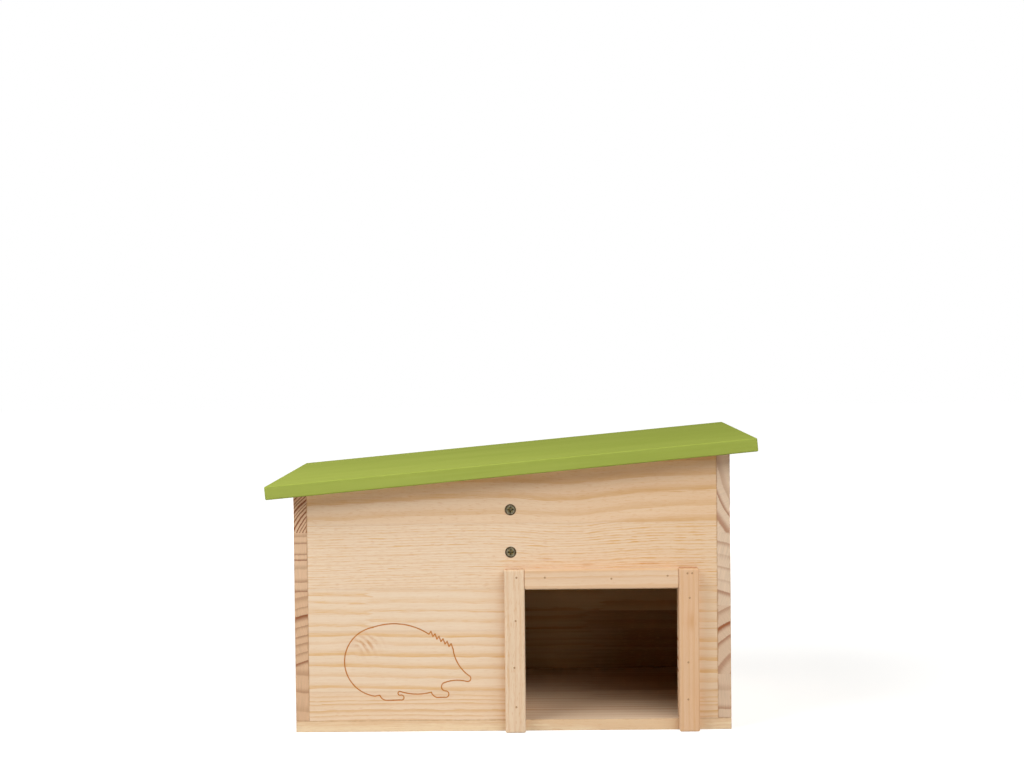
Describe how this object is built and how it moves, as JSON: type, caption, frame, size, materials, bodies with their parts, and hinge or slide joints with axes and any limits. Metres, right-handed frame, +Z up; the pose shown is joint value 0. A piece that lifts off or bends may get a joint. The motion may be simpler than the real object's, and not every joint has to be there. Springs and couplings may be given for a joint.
{
  "type": "hedgehog house",
  "caption": "Pine hedgehog house with a green sloping roof that opens on rear hinges, a framed ground-level entrance and an inner partition.",
  "frame": {"origin": "on the ground, under the middle of the whole house, which is the middle of its floor board's underside", "axes": "+X to the right as seen from the entrance side, +Y from the entrance side to the back, +Z up"},
  "size_m": [0.4368, 0.296, 0.2615],
  "materials": {
    "pine_board": "planed, untreated",
    "pine_strip": "planed, untreated, eased edges",
    "painted_roof": "matt yellow-green paint on pine",
    "screw_zinc": "dull yellow zinc",
    "brad_steel": "dull",
    "hinge_steel": "zinc plated"
  },
  "bodies": {
    "house": {"floor_board": "pine_board", "front_wall": "pine_board", "back_wall": "pine_board", "left_wall": "pine_board", "right_wall": "pine_board", "partition": "pine_board", "entrance_left_post": "pine_strip", "entrance_right_post": "pine_strip", "entrance_lintel": "pine_strip", "left_wall_screws": "screw_zinc", "right_wall_screws": "screw_zinc", "floor_screws": "screw_zinc", "partition_floor_screws": "screw_zinc", "partition_front_screws": "screw_zinc", "left_post_brads": "brad_steel", "right_post_brads": "brad_steel", "lintel_brads": "brad_steel", "left_hinge_wall_leaf": "hinge_steel", "left_hinge_pin": "hinge_steel", "left_hinge_wall_screws": "hinge_steel", "right_hinge_wall_leaf": "hinge_steel", "right_hinge_pin": "hinge_steel", "right_hinge_wall_screws": "hinge_steel"},
    "roof": {"roof_board": "painted_roof", "left_hinge_roof_leaf": "hinge_steel", "left_hinge_roof_screws": "hinge_steel", "right_hinge_roof_leaf": "hinge_steel", "right_hinge_roof_screws": "hinge_steel"}
  },
  "joints": [
    {"name": "roof_hinge", "type": "hinge", "parent": "house", "child": "roof", "pos_m": [0, 0.1333, 0.22669], "axis": [-0.996, 0, -0.0894], "range_deg": [0, 100]}
  ]
}
